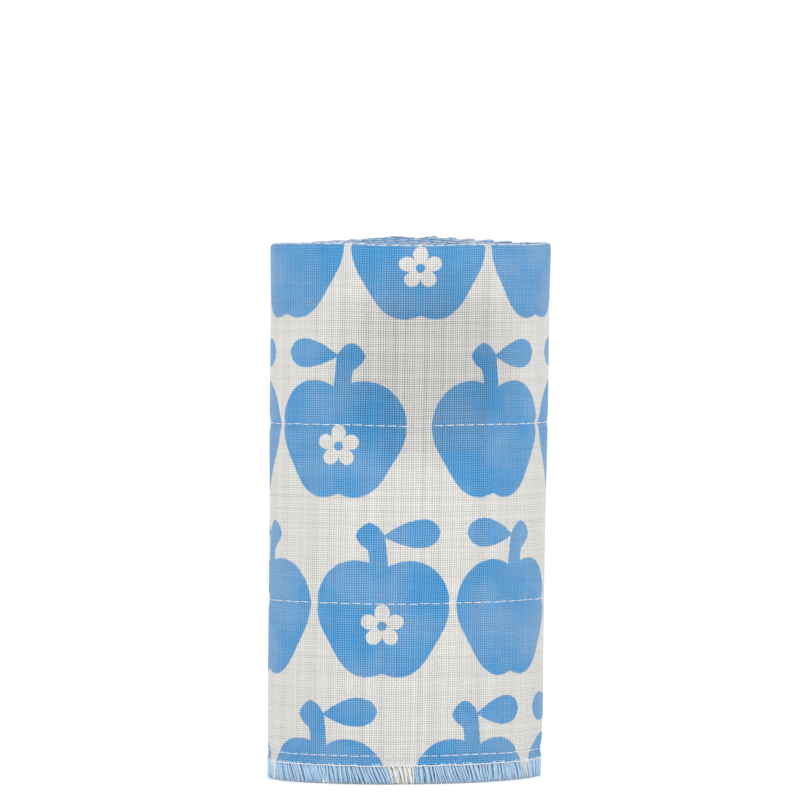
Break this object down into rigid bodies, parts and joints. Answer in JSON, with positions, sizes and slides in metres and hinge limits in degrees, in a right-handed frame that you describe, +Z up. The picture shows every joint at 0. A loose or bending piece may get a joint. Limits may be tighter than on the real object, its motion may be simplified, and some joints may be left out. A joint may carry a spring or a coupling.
{
  "type": "rolled tenugui towel",
  "caption": "Open-weave gauze towel folded in half along its length and rolled up on end, with the fold as its top rim and the frayed long edge at its foot.",
  "frame": {"origin": "on the floor, under the middle of the roll's box", "axes": "+Z up along the axis of the roll, +X to the right and -Y towards the viewer who sees the printed front"},
  "size_m": [0.09, 0.0746, 0.1718],
  "materials": {
    "printed_gauze": "open two-layer gauze, off-white with a mid-blue fruit print, starched and matt",
    "frayed_yarn": "loose frayed yarn ends, off-white and pale blue, matt"
  },
  "bodies": {
    "root": {"towel_roll": "printed_gauze", "frayed_edge": "frayed_yarn"}
  },
  "joints": []
}
